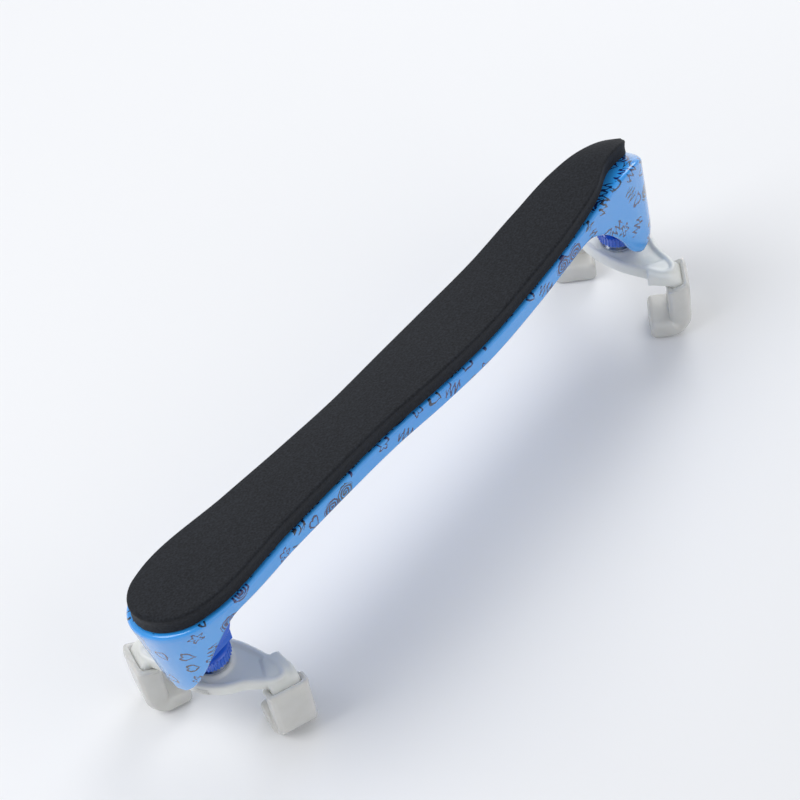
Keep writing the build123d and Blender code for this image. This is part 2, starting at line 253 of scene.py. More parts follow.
world = bpy.data.worlds.new("studio")
world.use_nodes = True
world.node_tree.nodes["Background"].inputs["Color"].default_value = linear("#F4F6FA")
world.node_tree.nodes["Background"].inputs["Strength"].default_value = 0.48
bpy.context.scene.world = world
bpy.context.scene.view_settings.view_transform = "Standard"

paper, *_ = new_material(
    "matt paper, seamless backdrop", base_color=linear("#EDEEF0"), roughness=0.9
)
floor_mesh = bpy.data.meshes.new("floor")
REACH = 4.0
floor_mesh.from_pydata(
    [(-REACH, -REACH, 0), (REACH, -REACH, 0), (REACH, REACH, 0), (-REACH, REACH, 0)], [], [(0, 1, 2, 3)]
)
floor = add_piece("floor", floor_mesh, paper)
print("camera", camera.location, "lights", len(LIGHTS))

# %% [markdown]
# ## The bar's outline and its leaning top
#
# Seen from above, the bar is a waisted strip: round and wide at the chest end, slim at the
# shoulder end. Its top surface leans towards the violin's neck and dips in the middle, so
# that it follows the player's collarbone. Everything on the bar is measured from these.

# %% Outline and top surface
STATIONS = 170
LEAN = math.radians(16)
TOP_BASE = 51.0
BAR_THICK = 6.0
CHEST_END, CHEST_ROUND = (-88.37, 1.8), 14.43
SHOULDER_END, SHOULDER_ROUND = (90.8, -1.6), 9.02

NECK_SIDE = (
    *arc(CHEST_END, CHEST_ROUND, 180, 96, 5),
    (-59, 14.2), (-39, 12.9), (-19, 12.2), (1, 12.8), (21, 13.0), (41, 12.1), (61, 11.1), (76, 10.0),
    *arc(SHOULDER_END, SHOULDER_ROUND, 84, 0, 5),
)
TAIL_SIDE = (
    *arc(CHEST_END, CHEST_ROUND, 180, 264, 5),
    (-59, -11.5), (-39, -10.9), (-19, -10.8), (1, -12.2), (21, -12.9), (41, -12.3), (61, -12.0), (76, -11.6),
    *arc(SHOULDER_END, SHOULDER_ROUND, -84, 0, 5),
)
TOP_PROFILE = (
    (-108, 5.9), (-79, 5.1), (-39, 2.8), (1, 0.3), (21, -0.5), (41, 0.1), (61, 2.8), (76, 5.3),
    (84, 6.5), (90, 6.1), (95, 4.4), (100, 1.2), (104, -1.6)
)


def top_height(x, y, above=0.0):
    """Height of the bar's leaning top over a plan point, or of a skin that far above it."""
    return TOP_BASE + (read(TOP_PROFILE, x) + above - y * math.sin(LEAN)) / math.cos(LEAN)


def closed_outline(neck_side, tail_side, stations):
    """Both sides joined into one ring that starts at the chest tip and runs up the neck side."""
    neck, tail = flow(neck_side, stations), flow(tail_side, stations)
    return neck + tail[-2:0:-1]


def outward(ring):
    """The outward direction at every point of a ring."""
    made = []
    for k in range(len(ring)):
        run = (ring[(k + 1) % len(ring)] - ring[k - 1]).normalized()
        made.append(Vector((-run.y, run.x)))
    return made


bar_ring = closed_outline(NECK_SIDE, TAIL_SIDE, STATIONS)
bar_out = outward(bar_ring)
print("outline points:", len(bar_ring), "length", round(bar_ring[STATIONS].x - bar_ring[0].x, 1), "mm")

# %% [markdown]
# ## From rings to a closed shell
#
# The bar and the pad are both built the same way. Each outline point carries a strip of
# rows, from the top face over the edge, down the wall and under. Straight cross lines
# between the two sides then close the top and the underside. It is a plain grid of quads,
# which shades cleanly, and each row can also carry a flat coordinate for the printed ink.

# %% Shell builder
CAP_INK = 400    # mm that the marks on a closing face lie away from the wall's


def shell(name, rows, across=12, flat=None):
    """A closed solid from rows of rings; the first and last rows are closed by cross lines."""
    count = len(rows[0])
    half = count // 2
    points = [point for row in rows for point in row]
    faces = []
    for r in range(len(rows) - 1):
        for k in range(count):
            after = (k + 1) % count
            faces.append((r * count + k, r * count + after, (r + 1) * count + after, (r + 1) * count + k))
    coordinates = []
    if flat:
        for r in range(len(rows) - 1):
            for k in range(count):
                coordinates += [flat[r][k], flat[r][k + 1], flat[r + 1][k + 1], flat[r + 1][k]]
    for row_index, height in ((0, rows[0].height), (len(rows) - 1, rows[-1].height)):
        ring = rows[row_index]
        base = len(points)
        for k in range(half + 1):
            a, b = Vector(ring[k]), Vector(ring[-k % count])
            for j in range(across + 1):
                spot = a.lerp(b, j / across)
                points.append((spot.x, spot.y, height(spot.x, spot.y, j / across)))
        for k in range(half):
            for j in range(across):
                corner = base + k * (across + 1) + j
                quad = (corner, corner + 1, corner + across + 2, corner + across + 1)
                faces.append(quad if row_index else quad[::-1])
                coordinates += [(points[c][0] + CAP_INK, points[c][1]) for c in faces[-1]] if flat else []
    mesh = bpy.data.meshes.new(name)
    mesh.from_pydata([(Vector(point) + SHIFT) * MM for point in points], [], faces)
    if flat:
        layer = mesh.uv_layers.new(name="ink_mm")
        layer.data.foreach_set("uv", [part for pair in coordinates for part in pair])
    return cleaned(mesh)


class Row(list):
    """One ring of points, with the height of the face that may close it."""

    def __init__(self, points, height=None):
        super().__init__(points)
        self.height = height


# %% [markdown]
# ## The blue body
#
# The body is one injection moulding. The bar's side is a band about 6 mm high with a soft
# upper edge; at each end that band runs down into a hood whose lower rim sweeps up again
# to the bar. The walls are about 2 mm thick, and the moulding's underside is a shallow
# channel. A wall that only turned 90 degrees would look cut from sheet, so the top edge,
# the rim and the inner corner each get their own small rounding.

# %% Hood rims and wall
EDGE = 1.15
CHEST_RIM = (
    (-103, 25.2), (-101, 28.5), (-97, 35.5), (-92.5, 43.5), (-87.5, 51), (-82, 58), (-70, 75)
)
NECK_RIM = ((68, 60), (75, 51), (80, 42), (84, 34), (88, 29.5), (94, 29), (97, 32), (99.8, 37))
TAIL_RIM = ((60, 60), (68, 52), (76, 45), (82, 37), (86, 29.5), (90, 25.4), (93, 26), (96.5, 30), (99.8, 37))
RIM_BLEND = 1.6
DRAFT = ((-84, 0.15), (-66, 0.0), (84, 0.0), (98, -0.06))
WALL = ((-80, 2.3), (0, 2.0), (85, 1.8))
CHANNEL = 1.4
CORNER = 0.5
WALL_ROWS, INNER_ROWS, ARC_ROWS = 12, 8, 6
INSIDE_INK = 200    # mm that the inner wall's marks lie away from the outer wall's


def rim_height(spot):
    """Height of the wall's lower edge: the bar's underside, or the hood's rim below it."""
    bar_under = top_height(spot.x, spot.y, -BAR_THICK)
    if spot.x < 0:
        hood = read(CHEST_RIM, spot.x)
    else:
        hood = read(NECK_RIM if spot.y > SHOULDER_END[1] else TAIL_RIM, spot.x)
    return -RIM_BLEND * math.log(math.exp(-bar_under / RIM_BLEND) + math.exp(-hood / RIM_BLEND))


def body_rows():
    """Rows of the body's section at every outline point, with their flat coordinates."""
    strips, flats = [], []
    travelled = 0.0
    for k, (spot, out) in enumerate(zip(bar_ring, bar_out)):
        wall, draft = read(WALL, spot.x), read(DRAFT, spot.x)
        under = rim_height(spot)
        start = top_height(spot.x, spot.y) - EDGE
        strip = []
        for step in range(ARC_ROWS):
            turn = math.pi / 2 * step / ARC_ROWS
            place = spot - out * EDGE * (1 - math.sin(turn))
            strip.append((place.x, place.y, top_height(place.x, place.y) - EDGE * (1 - math.cos(turn))))
        half = wall / 2
        for step in range(WALL_ROWS + 1):
            z = start + (under + half - start) * step / WALL_ROWS
            place = spot - out * draft * (start - z)
            strip.append((place.x, place.y, z))
        foot = spot - out * draft * (start - under - half)
        for step in range(1, ARC_ROWS + 1):
            turn = math.pi * step / ARC_ROWS
            place = foot - out * half * (1 - math.cos(turn))
            strip.append((place.x, place.y, under + half * (1 - math.sin(turn))))
        ceiling = top_height(spot.x, spot.y, CHANNEL - BAR_THICK)
        for step in range(1, INNER_ROWS + 1):
            z = under + half + (ceiling - CORNER - under - half) * step / INNER_ROWS
            place = spot - out * (wall + draft * (start - z))
            strip.append((place.x, place.y, z))
        for step in (1, 2):
            turn = math.pi / 4 * step
            inset = wall + CORNER * (1 - math.cos(turn))
            place = spot - out * (inset + draft * (start - ceiling))
            rise = CORNER * (1 - math.sin(turn))
            strip.append((place.x, place.y, top_height(place.x, place.y, CHANNEL - BAR_THICK) - rise))
        strips.append(strip)
        if k:
            travelled += (spot - bar_ring[k - 1]).length
        inside = ARC_ROWS + WALL_ROWS + 3
        flats.append([(travelled, -p[2] - (INSIDE_INK if r > inside else 0)) for r, p in enumerate(strip)])
    closing = travelled + (bar_ring[0] - bar_ring[-1]).length
    flats.append([(closing, v) for _, v in flats[0]])
    rows = [Row(row) for row in zip(*strips)]
    rows[0].height = lambda x, y, _: top_height(x, y)
    rows[-1].height = lambda x, y, _: top_height(x, y, CHANNEL - BAR_THICK)
    return rows, list(zip(*flats))


rows, flat = body_rows()
body_mesh = shell("blue_body", rows, flat=flat)
print("body faces:", len(body_mesh.polygons))

# %% [markdown]
# ### Its finish: gloss ABS with a transfer print
#
# Moulded ABS in sky blue, with little hand-drawn marks in dark ink under a clear gloss:
# hearts, flowers, spirals and zigzags, a few millimetres each, scattered at random angles.
# Each mark is drawn by arithmetic in its own cell of a Voronoi pattern laid on the
# millimetre coordinates. The distance to a line decides where the ink is.

# %% Blue ABS with printed marks
CELL = 7.0      # mm between marks
FULL_TURN = 6.283
SKY = "#2593EC"


def printed_abs(name, colour, printed):
    """Glossy moulded ABS, with or without the printed marks."""
    material, tree, shader = new_material(
        name, roughness=0.24, ior=1.54, coat_weight=0.7, coat_roughness=0.06, subsurface_weight=0.06
    )
    shader.inputs["Subsurface Radius"].default_value = (0.6 * MM, 0.9 * MM, 1.6 * MM)
    shader.inputs["Subsurface Scale"].default_value = 1.0
    place = add(tree, "ShaderNodeTexCoord").outputs["Object"]
    peel = add(tree, "ShaderNodeTexNoise", {"Vector": place, "Scale": 420.0, "Detail": 1.0}).outputs[0]
    bump = add(tree, "ShaderNodeBump", {"Height": peel, "Distance": 0.012 * MM, "Strength": 0.5})
    tree.links.new(bump.outputs[0], shader.inputs["Normal"])
    tree.links.new(bump.outputs[0], shader.inputs["Coat Normal"])
    if not printed:
        shader.inputs["Base Color"].default_value = linear(colour)
        return material

    cloud = add(tree, "ShaderNodeTexNoise", {"Vector": place, "Scale": 22.0, "Detail": 2.0}).outputs[0]
    tone = add(
        tree, "ShaderNodeMix", {0: cloud, 6: linear(colour), 7: linear("#3FA9F5")}, data_type="RGBA"
    ).outputs[2]
    flat_place = add(tree, "ShaderNodeUVMap", uv_map="ink_mm").outputs[0]
    wobble = add(tree, "ShaderNodeTexNoise", {"Vector": flat_place, "Scale": 0.55, "Detail": 2.0})
    centred = add(
        tree, "ShaderNodeVectorMath", {0: wobble.outputs["Color"], 1: (0.5, 0.5, 0.5)}, operation="SUBTRACT"
    ).outputs[0]
    hand = add(
        tree, "ShaderNodeVectorMath", {0: centred, 1: (1.5, 1.5, 0), 2: flat_place}, operation="MULTIPLY_ADD"
    ).outputs[0]
    cells = add(
        tree, "ShaderNodeTexVoronoi", {"Vector": hand, "Scale": 1 / CELL, "Randomness": 0.7},
        voronoi_dimensions="2D",
    )
    chance = add(tree, "ShaderNodeSeparateColor", {0: cells.outputs["Color"]}).outputs
    own = add(
        tree, "ShaderNodeVectorMath", {0: hand, 1: cells.outputs["Position"]}, operation="SUBTRACT"
    ).outputs[0]

    angle = add(tree, "ShaderNodeMath", {0: chance[0], 1: FULL_TURN}, operation="MULTIPLY").outputs[0]
    turned = add(
        tree, "ShaderNodeVectorRotate", {"Vector": own, "Angle": angle}, rotation_type="Z_AXIS"
    ).outputs[0]
    axes = add(tree, "ShaderNodeSeparateXYZ", {0: turned}).outputs
    x, y = axes[0], axes[1]
    # each line is a name, an operation and its inputs; a text input names an earlier line
    mark_steps = (
        ("xx", "MULTIPLY", x, x),
        ("yy", "MULTIPLY", y, y),
        ("rr", "ADD", "xx", "yy"),
        ("r", "SQRT", "rr"),
        ("angle", "ARCTAN2", y, x),
        # flower: a ring whose radius swings five times round
        ("five", "MULTIPLY", "angle", 5.0),
        ("swing", "COSINE", "five"),
        ("petals", "MULTIPLY_ADD", "swing", 0.62, 1.5),
        ("petal_gap", "SUBTRACT", "r", "petals"),
        ("flower", "ABSOLUTE", "petal_gap"),
        # heart: a circle pushed up beside its middle line
        ("side", "ABSOLUTE", x),
        ("root", "SQRT", "side"),
        ("lift", "MULTIPLY_ADD", "root", -1.05, y),
        ("lift2", "MULTIPLY", "lift", "lift"),
        ("heart2", "ADD", "lift2", "xx"),
        ("heart1", "SQRT", "heart2"),
        ("heart_gap", "SUBTRACT", "heart1", 1.7),
        ("heart", "ABSOLUTE", "heart_gap"),
        # spiral: rings a millimetre apart that close up as the angle turns
        ("share", "MULTIPLY", "angle", 0.1592),
        ("pitch", "MULTIPLY_ADD", "r", 0.95, "share"),
        ("loop", "FRACT", "pitch"),
        ("loop_gap", "SUBTRACT", "loop", 0.5),
        ("spiral", "ABSOLUTE", "loop_gap"),
        # zigzag: a steep wave along a short line
        ("beat", "MULTIPLY", x, 3.4),
        ("wave", "SINE", "beat"),
        ("zig_gap", "MULTIPLY_ADD", "wave", -1.35, y),
        ("zig_near", "ABSOLUTE", "zig_gap"),
        ("zigzag", "MULTIPLY", "zig_near", 0.4),
        # which of them this cell shows
        ("pick1", "GREATER_THAN", chance[1], 0.24),
        ("pick2", "GREATER_THAN", chance[1], 0.50),
        ("pick3", "GREATER_THAN", chance[1], 0.68),
    )
    marks = {}
    for label, operation, *values in mark_steps:
        sources = {i: marks[v] if isinstance(v, str) else v for i, v in enumerate(values)}
        marks[label] = add(tree, "ShaderNodeMath", sources, operation=operation).outputs[0]
    line = marks["flower"]
    for pick, mark in (("pick1", "heart"), ("pick2", "spiral"), ("pick3", "zigzag")):
        line = add(tree, "ShaderNodeMix", {0: marks[pick], 2: line, 3: marks[mark]}).outputs[0]
    press = add(tree, "ShaderNodeTexNoise", {"Vector": flat_place, "Scale": 0.9, "Detail": 1.0}).outputs[0]
    ink_steps = (
        ("width", "MULTIPLY_ADD", press, 0.34, 0.12),
        ("soft", "ADD", "width", 0.10),
        ("near", "SUBTRACT", "soft", line),
        ("edge", "DIVIDE", "near", 0.10),
        ("clear", "MINIMUM", "edge", 1.0),
        ("line", "MAXIMUM", "clear", 0.0),
        ("inside", "LESS_THAN", marks["r"], 3.1),
        ("shown", "GREATER_THAN", chance[2], 0.14),
        ("kept", "MULTIPLY", "inside", "shown"),
        ("ink", "MULTIPLY", "line", "kept"),
        ("shade", "MULTIPLY", "ink", 0.97),
        ("other", "MULTIPLY", chance[2], 9.7),
        ("lot", "FRACT", "other"),
    )
    inked = {}
    for label, operation, *values in ink_steps:
        sources = {i: inked[v] if isinstance(v, str) else v for i, v in enumerate(values)}
        inked[label] = add(tree, "ShaderNodeMath", sources, operation=operation).outputs[0]
    inks = add(tree, "ShaderNodeValToRGB", {0: inked["lot"]})
    inks.color_ramp.interpolation = "CONSTANT"
    stops = inks.color_ramp.elements
    stops[0].color, stops[1].color = linear("#0B1550"), linear("#14125A")
    stops[1].position = 0.45
    stops.new(0.72).color = linear("#080C28")
    stops.new(0.93).color = linear("#12324F")
    final = add(
        tree, "ShaderNodeMix", {0: inked["shade"], 6: tone, 7: inks.outputs[0]}, data_type="RGBA"
    ).outputs[2]
    tree.links.new(final, shader.inputs["Base Color"])
    return material


blue_abs = printed_abs("moulded ABS, sky blue gloss with ink transfer", SKY, True)
# the unprinted parts under the bar and its hoods get a deeper blue than the body: painted shade for the
# shadow they sit in
shade_darkened_abs = printed_abs("moulded ABS, unprinted blue gloss darkened as painted shade", "#1F63D6", False)
body = add_piece("blue_body", body_mesh, blue_abs)
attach(body, "bar")
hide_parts("base_bar")

# %% [markdown]
# ## The foam strip
#
# The pad is die-cut closed-cell foam, glued flat on the bar and cut a little smaller, so a
# thin blue lip shows all round. It is not sewn, so it keeps a crisp outline; only its top
# edge is softly rounded, its walls draw in slightly at half height, and its face has the
# faint unevenness of a skived sheet. Those are vertex moves on the same kind of grid.

# %% Foam pad
PAD_THICK = 5.65
PAD_GAP = 0.05
PAD_EDGE = 0.8
PAD_WALL = (  # inset and height of the wall's points, from the glue up; it draws in half way
    (1.2, 0.0), (0.25, 0.0), (0.05, 0.2), (0.0, 0.6), (0.12, 1.6), (0.2, 2.6), (0.12, 3.4)
)
PAD_NECK = (
    *arc((-88.6, 1.8), 12.8, 180, 98, 5),
    (-59, 12.9), (-39, 11.6), (-19, 10.9), (1, 11.5), (21, 11.7), (41, 10.8), (61, 9.8), (76, 8.2),
    (87.2, 4.6), (94.2, 1.2), (96.6, -0.6), (97.2, -1.8),
)
PAD_TAIL = (
    *arc((-88.6, 1.8), 12.8, 180, 260, 5),
    (-59, -10.2), (-39, -9.6), (-19, -9.5), (1, -10.9), (21, -11.6), (41, -11.0), (61, -10.7), (76, -8.8),
    (84, -5.8), (91.2, -4.8), (95, -4.0), (96.8, -3.0), (97.2, -1.8),
)


def foam_face(x, y, share):
    """Height of the foam's face, crowned a little across and faintly uneven."""
    crown = 0.35 * (1 - (2 * share - 1) ** 2)
    uneven = 0.10 * noise.noise(Vector((x / 14, y / 14, 0)))
    return top_height(x, y, PAD_THICK + PAD_GAP - 0.3) + crown + uneven


def pad_rows():
    """Rows of the pad's section, from its glued face round to its crowned top."""
    ring = closed_outline(PAD_NECK, PAD_TAIL, STATIONS)
    strips = []
    for spot, out in zip(ring, outward(ring)):
        strip = []
        for inset, rise in PAD_WALL:
            place = spot - out * inset
            strip.append((place.x, place.y, top_height(place.x, place.y, PAD_GAP + rise)))
        for step in range(ARC_ROWS + 1):
            turn = math.pi / 2 * step / ARC_ROWS
            place = spot - out * PAD_EDGE * (1 - math.cos(turn))
            rise = PAD_THICK - 0.3 - PAD_EDGE * (1 - math.sin(turn))
            uneven = 0.10 * noise.noise(Vector((place.x / 14, place.y / 14, 0))) * step / ARC_ROWS
            strip.append((place.x, place.y, top_height(place.x, place.y, PAD_GAP + rise) + uneven))
        strips.append(strip)
    rows = [Row(row) for row in zip(*strips)]
    rows[0].height = lambda x, y, _: top_height(x, y, PAD_GAP)
    rows[-1].height = foam_face
    return rows


foam, foam_tree, foam_shader = new_material(
    "PU foam, charcoal, die-cut sheet", roughness=0.94, specular_ior_level=0.25, sheen_weight=0.08,
    sheen_roughness=0.5, ior=1.45,
)
foam_place = add(foam_tree, "ShaderNodeTexCoord").outputs["Object"]
# foam cells are 0.3 to 0.5 mm; they are drawn 0.6 mm wide so that they still show
foam_cells = add(foam_tree, "ShaderNodeTexVoronoi", {"Vector": foam_place, "Scale": 1 / (0.6 * MM)})
foam_cloud = add(foam_tree, "ShaderNodeTexNoise", {"Vector": foam_place, "Scale": 55.0, "Detail": 4.0})
foam_grain = add(foam_tree, "ShaderNodeTexNoise", {"Vector": foam_place, "Scale": 1500.0, "Detail": 3.0})
foam_mix = add(
    foam_tree, "ShaderNodeMath",
    {0: foam_cells.outputs["Distance"], 1: 0.6, 2: foam_grain.outputs[0]}, operation="MULTIPLY_ADD",
)
foam_tone = add(
    foam_tree, "ShaderNodeMapRange", {0: foam_mix.outputs[0], 1: 0.45, 2: 1.15, 3: 0.0, 4: 1.0}
)
foam_dark = add(
    foam_tree, "ShaderNodeMix", {0: foam_cloud.outputs[0], 6: linear("#0F1013"), 7: linear("#17191D")},
    data_type="RGBA",
)
foam_colour = add(
    foam_tree, "ShaderNodeMix",
    {0: foam_tone.outputs[0], 6: foam_dark.outputs[2], 7: linear("#26292F")}, data_type="RGBA",
)
foam_bump = add(
    foam_tree, "ShaderNodeBump", {"Height": foam_mix.outputs[0], "Distance": 0.07 * MM, "Strength": 0.5}
)
foam_tree.links.new(foam_colour.outputs[2], foam_shader.inputs["Base Color"])
foam_tree.links.new(foam_bump.outputs[0], foam_shader.inputs["Normal"])

pad = add_piece("foam_strip", shell("foam_strip", pad_rows(), across=16), foam)
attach(pad, "bar")
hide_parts("foam_pad")
print("pad faces:", len(pad.data.polygons))

# %% [markdown]
# ## What hangs under each hood
#
# Two lugs come down from the bar's underside and hold the folding block on short steel
# pins. They belong to the bar, so they are drawn here with a real hole round each pin.
# The block, the pins, the brass insert, the washer and the clip keep the engineering
# model's own meshes, whose shapes are right, and take finished materials.

# %% Hinge lugs
PIN_HEIGHT = 42.0
LUG_INNER, LUG_THICK, LUG_ROUND, LUG_RISE = 5.1, 2.0, 4.6, 9.5
PIN_HOLE = 1.55
LUG_STEPS = 48


def lug_edge(angle):
    """A lug's outline seen from the side: round below the pin, straight sides above it."""
    if math.sin(angle) <= 0:
        return LUG_ROUND
    return min(LUG_ROUND / max(abs(math.cos(angle)), 1e-6), LUG_RISE / math.sin(angle))


def lug_mesh(name, hub):
    """Both lugs of one hinge as a single mesh."""
    points, faces = [], []
    for side in (-1, 1):
        base = len(points)
        for step in range(LUG_STEPS):
            angle = math.tau * step / LUG_STEPS
            for reach in (lug_edge(angle), PIN_HOLE):
                for y in (LUG_INNER, LUG_INNER + LUG_THICK):
                    across, up = reach * math.cos(angle), reach * math.sin(angle)
                    points.append((hub.x + across, hub.y + side * y, PIN_HEIGHT + up))
        for step in range(LUG_STEPS):
            here, there = base + 4 * step, base + 4 * ((step + 1) % LUG_STEPS)
            for a, b in ((0, 1), (1, 3), (3, 2), (2, 0)):
                faces.append((here + a, here + b, there + b, there + a))
    return make_mesh(name, points, faces)


def soften(piece, width, segments=2, angle=40):
    """Round a hard-edged piece's edges with a bevel and return it as a plain mesh."""
    bevel = piece.modifiers.new("bevel", "BEVEL")
    bevel.width, bevel.segments, bevel.angle_limit = width * MM, segments, math.radians(angle)
    bevel.harden_normals = True
    return settled(piece)


for end, hub in STUD.items():
    # the lugs take the deeper blue, painted shade, though they are moulded with the bar
    lugs = soften(add_piece(f"{end}_hinge_lugs", lug_mesh(f"{end}_hinge_lugs", hub), shade_darkened_abs), 0.22)
    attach(lugs, "bar")
    print(lugs.name, len(lugs.data.polygons), "faces")

# %% [markdown]
# ## Ribs under the bar
#
# A moulded bar is stiffened underneath by thin ribs across its channel. They repeat along
# the bar, so Geometry Nodes make them: a line of points, one slim box on each, turned into
# real geometry at the end. The tree's inputs are its sizes.

# %% Geometry Nodes helper
def new_tree(name, sizes):
    """A Geometry Nodes tree with named number inputs, its input sockets and its output."""
    tree = bpy.data.node_groups.new(name, "GeometryNodeTree")
    for label, value in sizes.items():
        kind = "NodeSocketInt" if isinstance(value, int) else "NodeSocketFloat"
        tree.interface.new_socket(label, in_out="INPUT", socket_type=kind)
    tree.interface.new_socket("Geometry", in_out="OUTPUT", socket_type="NodeSocketGeometry")
    inputs = add(tree, "NodeGroupInput").outputs
    return tree, inputs, add(tree, "NodeGroupOutput")


def finish_tree(tree, output, geometry, material):
    """End a tree the way the export needs: real geometry with its material."""
    real = add(tree, "GeometryNodeRealizeInstances", {0: geometry}).outputs[0]
    dressed = add(tree, "GeometryNodeSetMaterial", {"Geometry": real, "Material": material}).outputs[0]
    tree.links.new(dressed, output.inputs[0])


def grow(name, tree, sizes, place=None):
    """Run a tree with its sizes and keep the result as a plain mesh, moved to its place."""
    carrier = add_piece(name, bpy.data.meshes.new(name))
    modifier = carrier.modifiers.new("grow", "NODES")
    modifier.node_group = tree
    for item in tree.interface.items_tree:
        if item.in_out == "INPUT":
            modifier[item.identifier] = sizes[item.name]
    piece = settled(carrier)
    if place:
        piece.data.transform(place)
    return piece


def at_hub(end, height=0.0, turn=0.0):
    """The transform from a foot's own millimetre drawing to its place on the rest."""
    where = (STUD[end] + SHIFT + Vector((0, 0, height))) * MM
    return Matrix.Translation(where) @ Matrix.Rotation(turn, 4, "Z")


# %% Underside ribs
RIBS = {"Count": 21, "Spacing": 6.6 * MM, "Length": 19.0 * MM, "Thickness": 1.0 * MM, "Depth": 1.5 * MM}
rib_tree, rib_in, rib_out = new_tree("underside ribs", RIBS)
rib_spacing = add(rib_tree, "ShaderNodeCombineXYZ", {"X": rib_in["Spacing"]}).outputs[0]
rib_line = add(rib_tree, "GeometryNodeMeshLine", {"Count": rib_in["Count"], "Offset": rib_spacing}).outputs[0]
rib_size = add(
    rib_tree, "ShaderNodeCombineXYZ",
    {"X": rib_in["Thickness"], "Y": rib_in["Length"], "Z": rib_in["Depth"]},
).outputs[0]
rib_box = add(rib_tree, "GeometryNodeMeshCube", {"Size": rib_size}).outputs[0]
rib_all = add(rib_tree, "GeometryNodeInstanceOnPoints", {"Points": rib_line, "Instance": rib_box}).outputs[0]
# the ribs take the deeper blue, painted shade for the channel under the bar
finish_tree(rib_tree, rib_out, rib_all, shade_darkened_abs)
RIB_START = -66.0
ribs = grow("underside_ribs", rib_tree, RIBS)
for vertex in ribs.data.vertices:
    x, y = vertex.co.x / MM + RIB_START, vertex.co.y / MM + 0.4
    z = top_height(x, y, CHANNEL - BAR_THICK) + vertex.co.z / MM - 0.35
    vertex.co = (Vector((x, y, z)) + SHIFT) * MM
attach(ribs, "bar")
print("ribs:", RIBS["Count"], "faces:", len(ribs.data.polygons))

# %% [markdown]
# ## Turned parts
#
# A stud, a nut and a washer are round, so each is drawn as half a section and turned about
# its axis. The stud is zinc-plated steel with a real thread on it.

# %% Turning helper
def turned_mesh(name, section, steps=48):
    """A closed ring of section points (radius, height) turned about the vertical axis."""
    points, faces = [], []
    for step in range(steps):
        angle = math.tau * step / steps
        points += [(r * math.cos(angle), r * math.sin(angle), z) for r, z in section]
    count = len(section)
    for step in range(steps):
        here, there = step * count, (step + 1) % steps * count
        for k in range(count):
            after = (k + 1) % count
            faces.append((here + k, here + after, there + after, there + k))
    return make_mesh(name, points, faces, placed=False)


# %% [markdown]
# ### Metals
#
# Zinc-plated steel is bright and slightly blue with fine turning marks round the axis.
# Brass inserts are pressed in from stock and stay a warm satin yellow. Both keep the
# shader's default IOR, as metals should; colour and roughness do the work.

# %% Steel and brass
def turned_metal(name, colour, dull, rough):
    """A metal with fine rings from turning and small variations in its brightness."""
    material, tree, shader = new_material(name, metallic=1.0)
    place = add(tree, "ShaderNodeTexCoord").outputs["Object"]
    # turning marks are 0.05 mm apart; they are drawn 0.25 mm apart so that they show
    rings = add(
        tree, "ShaderNodeTexWave", {"Vector": place, "Scale": 0.314 / (0.25 * MM) / 5, "Distortion": 0.6},
        wave_type="BANDS", bands_direction="Z",
    ).outputs[1]
    smudge = add(tree, "ShaderNodeTexNoise", {"Vector": place, "Scale": 180.0, "Detail": 3.0}).outputs[0]
    tone = add(
        tree, "ShaderNodeMix", {0: smudge, 6: linear(colour), 7: linear(dull)}, data_type="RGBA"
    ).outputs[2]
    dullness = add(tree, "ShaderNodeMapRange", {0: smudge, 3: rough - 0.07, 4: rough + 0.10}).outputs[0]
    bump = add(tree, "ShaderNodeBump", {"Height": rings, "Distance": 0.02 * MM, "Strength": 0.5}).outputs[0]
    for socket, source in (("Base Color", tone), ("Roughness", dullness), ("Normal", bump)):
        tree.links.new(source, shader.inputs[socket])
    return material


steel = turned_metal("carbon steel, zinc plated and turned", "#C9CDD2", "#A9AFB6", 0.27)
brass = turned_metal("brass, turned insert", "#D8B566", "#B98F45", 0.30)

STUD_CORE = 2.5
PITCH = 1.0
STUD_BASE, HEAD_TOP = 19.4, 21.0
THREAD_FROM, STUD_TOP = 26.0, 47.0
stud_section = (
    (0.3, STUD_BASE + 0.9), (1.4, STUD_BASE + 0.9), (1.4, STUD_BASE), (4.6, STUD_BASE),
    (5.0, STUD_BASE + 0.35),
    (5.0, HEAD_TOP - 0.2), (4.8, HEAD_TOP), (2.92, HEAD_TOP), (2.92, 24.8), (2.45, 24.85), (2.45, 25.58),
    (2.92, 25.62), (2.92, THREAD_FROM), (STUD_CORE, THREAD_FROM + 0.4), (STUD_CORE, STUD_TOP - 0.8),
    (1.9, STUD_TOP), (0.3, STUD_TOP),
)

THREAD = {
    "Turns": (STUD_TOP - 0.9 - THREAD_FROM - 0.5) / PITCH,
    "Radius": (STUD_CORE - 0.1) * MM,
    "Length": (STUD_TOP - 0.9 - THREAD_FROM - 0.5) * MM,
    "Depth": 0.5 * MM,
}
thread_tree, thread_in, thread_out = new_tree("screw thread", THREAD)
helix = add(
    thread_tree, "GeometryNodeCurveSpiral",
    {"Resolution": 32, "Rotations": thread_in["Turns"], "Start Radius": thread_in["Radius"],
     "End Radius": thread_in["Radius"], "Height": thread_in["Length"]},
).outputs[0]
upright = add(thread_tree, "GeometryNodeSetCurveNormal", {"Curve": helix}, mode="Z_UP").outputs[0]
ridge = add(
    thread_tree, "GeometryNodeCurvePrimitiveCircle", {"Resolution": 4, "Radius": thread_in["Depth"]},
    mode="RADIUS",
).outputs[0]
wound = add(
    thread_tree, "GeometryNodeCurveToMesh", {"Curve": upright, "Profile Curve": ridge, "Fill Caps": True}
).outputs[0]
finish_tree(thread_tree, thread_out, wound, steel)

for end in STUD:
    shank = add_piece(f"{end}_stud", turned_mesh(f"{end}_stud", stud_section), steel)
    shank.data.transform(at_hub(end))
    thread = grow(f"{end}_stud_thread", thread_tree, THREAD, at_hub(end, THREAD_FROM + 0.3))
    for piece in (shank, thread):
        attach(piece, f"{end}_post")
    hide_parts(f"{end}_height_stud")
    print(shank.name, "thread faces", len(thread.data.polygons))
